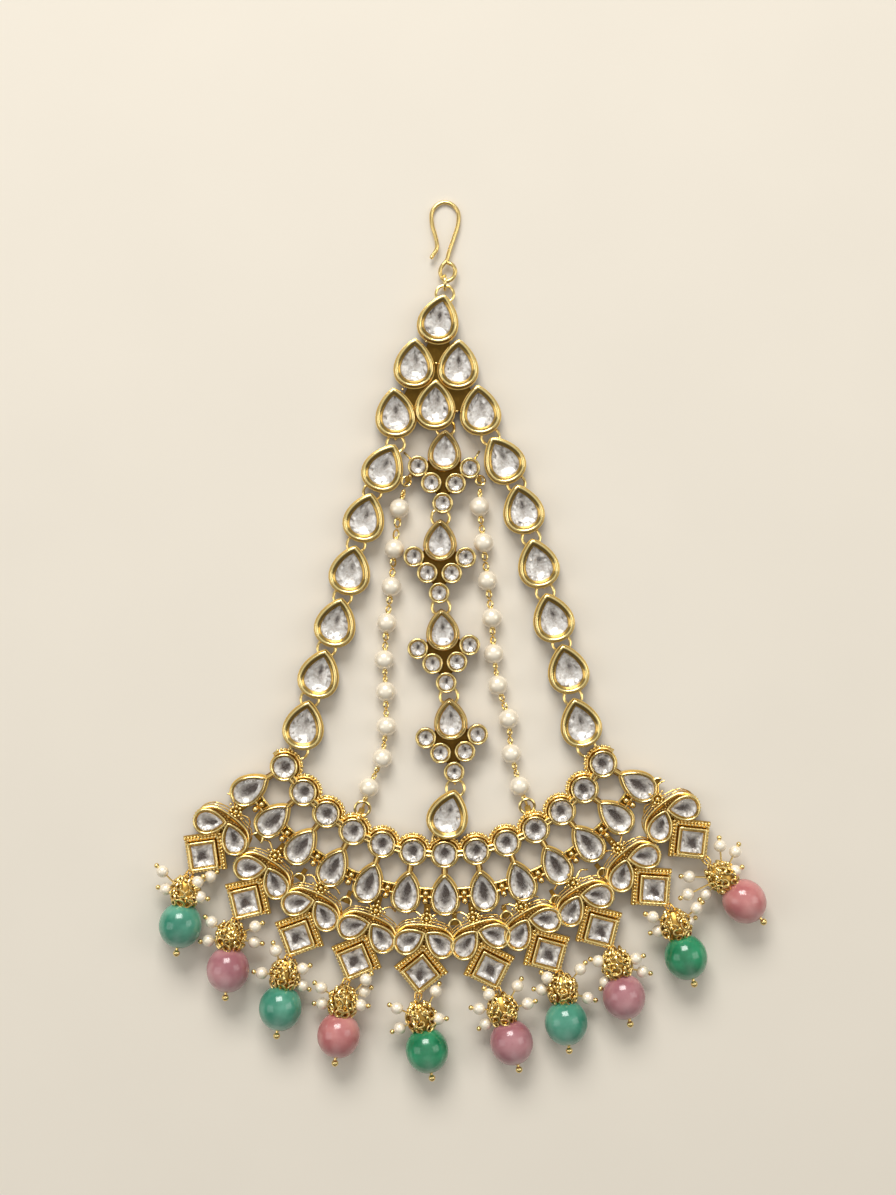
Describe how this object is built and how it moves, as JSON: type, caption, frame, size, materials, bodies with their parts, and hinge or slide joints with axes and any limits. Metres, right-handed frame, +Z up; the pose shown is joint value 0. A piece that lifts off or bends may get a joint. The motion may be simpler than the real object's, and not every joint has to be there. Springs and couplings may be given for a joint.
{
  "type": "side head ornament",
  "caption": "Fan-shaped side head ornament: wire hook, strands of set pear stones, pearl strings, pierced crescent band and pendants with beads.",
  "frame": {"origin": "on the surface that the ornament lies on, below the middle of its outline", "axes": "+Z up from that surface, +Y towards the hook, +X to the right as the face is seen"},
  "size_m": [0.1212, 0.1768, 0.0086],
  "materials": {
    "gold": "bright gold plating",
    "pearl": "pearl coat",
    "stone": "foiled cut glass",
    "teal": "polished, cloudy",
    "green": "polished, cloudy",
    "mauve": "polished, cloudy",
    "pink": "polished, cloudy"
  },
  "bodies": {
    "root": {"apex_cluster": "gold", "bead_1": "teal", "bead_10": "pink", "bead_2": "mauve", "bead_3": "teal", "bead_4": "pink", "bead_5": "green", "bead_6": "mauve", "bead_7": "teal", "bead_8": "mauve", "bead_9": "green", "bead_cap_1": "gold", "bead_cap_10": "gold", "bead_cap_2": "gold", "bead_cap_3": "gold", "bead_cap_4": "gold", "bead_cap_5": "gold", "bead_cap_6": "gold", "bead_cap_7": "gold", "bead_cap_8": "gold", "bead_cap_9": "gold", "centre_cluster_1": "gold", "centre_cluster_2": "gold", "centre_cluster_3": "gold", "centre_cluster_4": "gold", "centre_drop": "gold", "crescent_band": "gold", "hook": "gold", "hook_link": "gold", "left_drop_1": "gold", "left_drop_2": "gold", "left_drop_3": "gold", "left_drop_4": "gold", "left_drop_5": "gold", "left_drop_6": "gold", "left_pearl_string": "pearl", "pendant_1": "gold", "pendant_10": "gold", "pendant_2": "gold", "pendant_3": "gold", "pendant_4": "gold", "pendant_5": "gold", "pendant_6": "gold", "pendant_7": "gold", "pendant_8": "gold", "pendant_9": "gold", "right_drop_1": "gold", "right_drop_2": "gold", "right_drop_3": "gold", "right_drop_4": "gold", "right_drop_5": "gold", "right_drop_6": "gold", "right_pearl_string": "pearl"}
  },
  "joints": []
}
